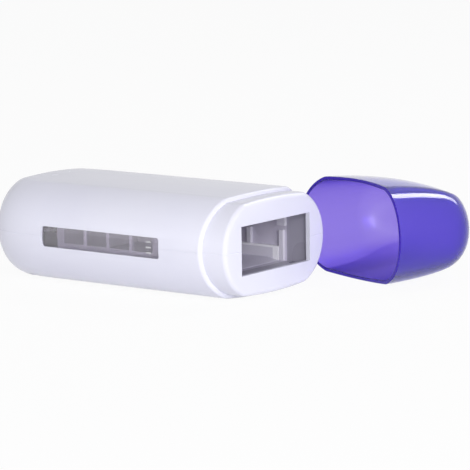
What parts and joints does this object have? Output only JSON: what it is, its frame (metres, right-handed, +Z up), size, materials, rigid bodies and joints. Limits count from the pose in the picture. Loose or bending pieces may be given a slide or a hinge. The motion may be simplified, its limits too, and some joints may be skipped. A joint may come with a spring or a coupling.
{
  "type": "roll on wax heater",
  "caption": "Handheld roll-on wax cartridge heater with a level window in its side, lying flat with its translucent cap off beside it.",
  "frame": {"origin": "centre of the mouth that takes the cartridge, in its face", "axes": "+X out of the mouth along the heater, Y across the wide face with the level window at -Y, +Z up through the thickness"},
  "size_m": [0.2132, 0.1539, 0.051],
  "materials": {
    "shell_plastic": "glossy lavender-white moulding",
    "window_plastic": "clear moulding",
    "cap_plastic": "translucent violet moulding",
    "cradle_plastic": "heat-resistant grey moulding",
    "plate_aluminium": "pressed, plain",
    "mica": "pressed mica sheet",
    "element_ribbon": "resistance ribbon on a mica core",
    "steel": "zinc plated",
    "thermostat_case": "moulded case",
    "inlet_plastic": "moulded, dark",
    "pin_brass": "plated",
    "lead_sleeve": "silicone sleeve"
  },
  "bodies": {
    "heater": {"upper_shell": "shell_plastic", "lower_shell": "shell_plastic", "window_pane": "window_plastic", "cradle": "cradle_plastic", "heat_plate": "plate_aluminium", "mica_cover": "mica", "heating_element": "element_ribbon", "mica_base": "mica", "clamp_plate": "steel", "stud_nuts": "steel", "thermostat": "thermostat_case", "thermostat_clip": "steel", "clip_rivets": "steel", "thermal_fuse": "steel", "power_inlet": "inlet_plastic", "inlet_pins": "pin_brass", "lead_live": "lead_sleeve", "lead_link": "lead_sleeve", "lead_neutral": "lead_sleeve", "shell_screws": "steel"},
    "cap_body": {"cap": "cap_plastic"}
  },
  "joints": [
    {"name": "cap_slide", "type": "slide", "parent": "heater", "child": "cap_body", "axis": [0.3173, 0.9483, 0], "range_m": [0, 0.06]}
  ]
}
